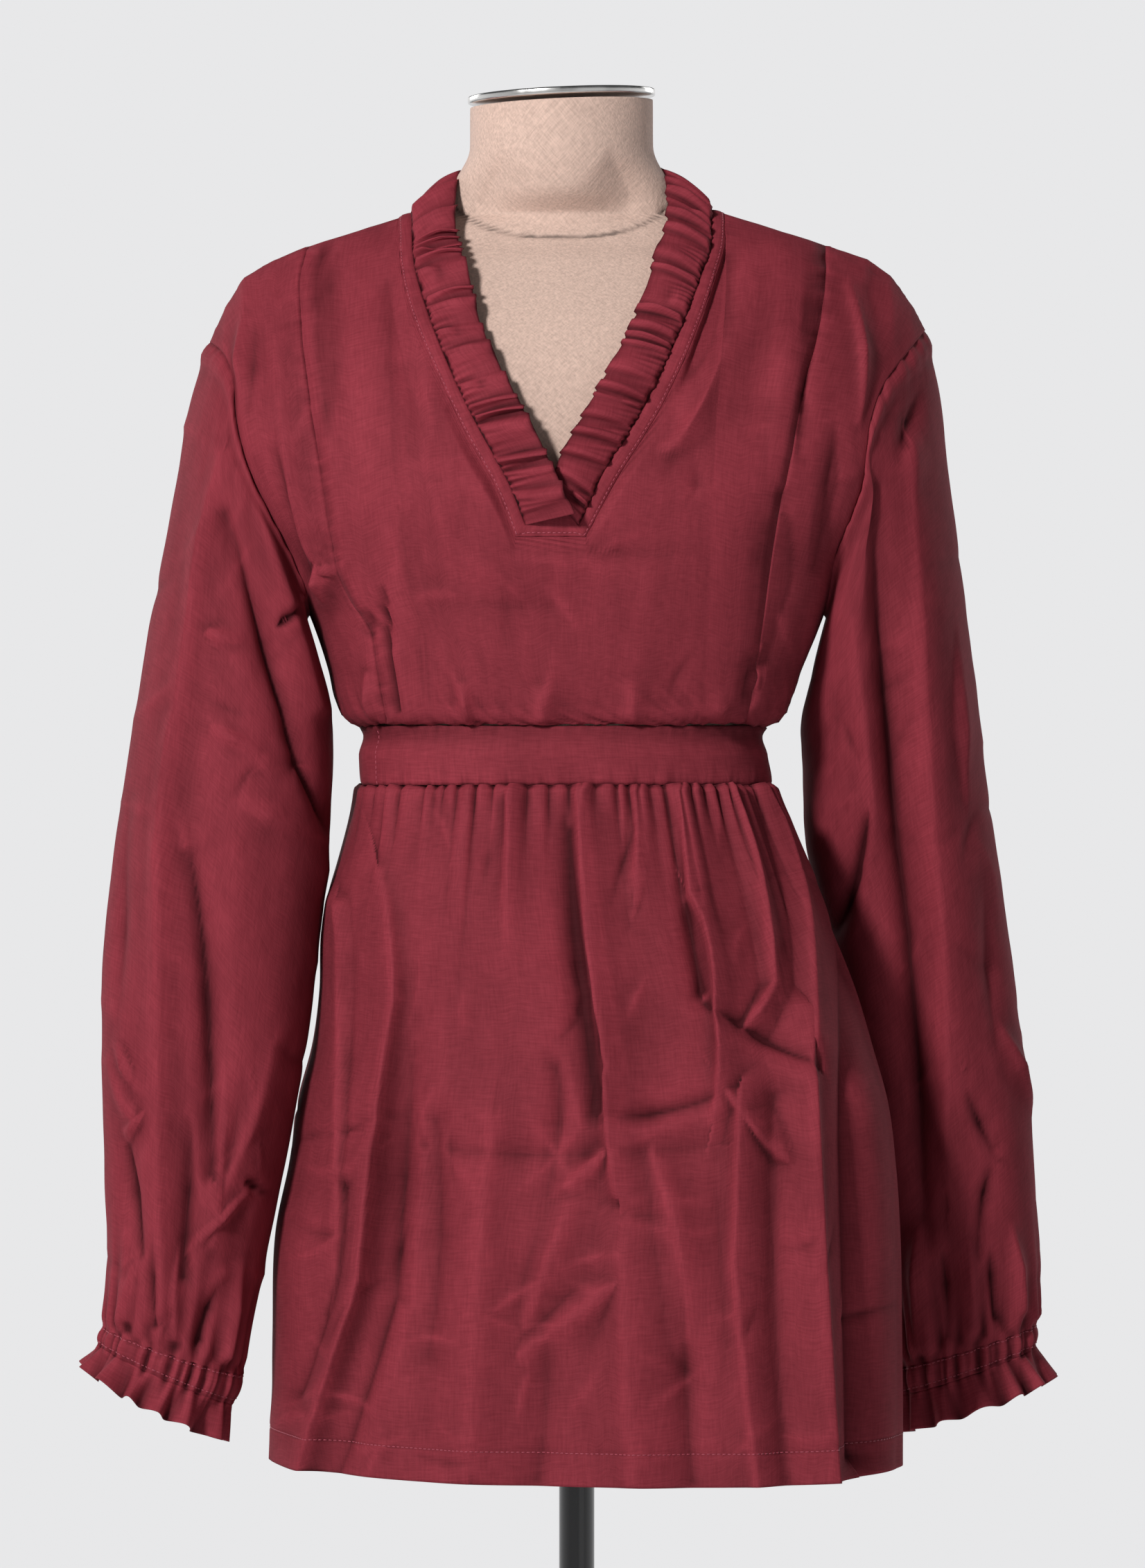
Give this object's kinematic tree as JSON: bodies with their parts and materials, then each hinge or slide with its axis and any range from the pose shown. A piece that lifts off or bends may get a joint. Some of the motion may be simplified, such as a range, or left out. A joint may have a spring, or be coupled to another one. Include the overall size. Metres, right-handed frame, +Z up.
{
  "type": "frilled maternity blouse on a limbless dress form",
  "caption": "Long-sleeved V-neck blouse with a frilled neckline, waistband, gathered skirt part and elastic cuffs, hanging open on a limbless dress form with pole and round base.",
  "frame": {"origin": "centre of the stand base's underside, on the floor", "axes": "+Z up along the pole, -Y towards the blouse's front, +X towards the viewer's right"},
  "size_m": [0.5837, 0.36, 1.4993],
  "materials": {
    "wine_cloth": "woven, soft sheen",
    "wine_band": "doubled woven cloth, topstitched",
    "wine_frill": "single woven cloth, gathered",
    "linen": "plain linen cover",
    "steel": "polished",
    "black_pole": "gloss black",
    "black_base": "satin black"
  },
  "bodies": {
    "root": {"front_centre": "wine_cloth", "front_side_left": "wine_cloth", "front_side_right": "wine_cloth", "back_panel": "wine_cloth", "neck_band": "wine_band", "neck_ruffle": "wine_frill", "waistband_front": "wine_band", "waistband_back": "wine_band", "skirt_front": "wine_cloth", "skirt_back": "wine_cloth", "sleeve_left": "wine_cloth", "sleeve_right": "wine_cloth", "cuff_casing_left": "wine_band", "cuff_casing_right": "wine_band", "cuff_frill_left": "wine_frill", "cuff_frill_right": "wine_frill", "form_torso": "linen", "form_neck": "linen", "neck_cap": "steel", "stand_pole": "black_pole", "stand_base": "black_base"}
  },
  "joints": []
}
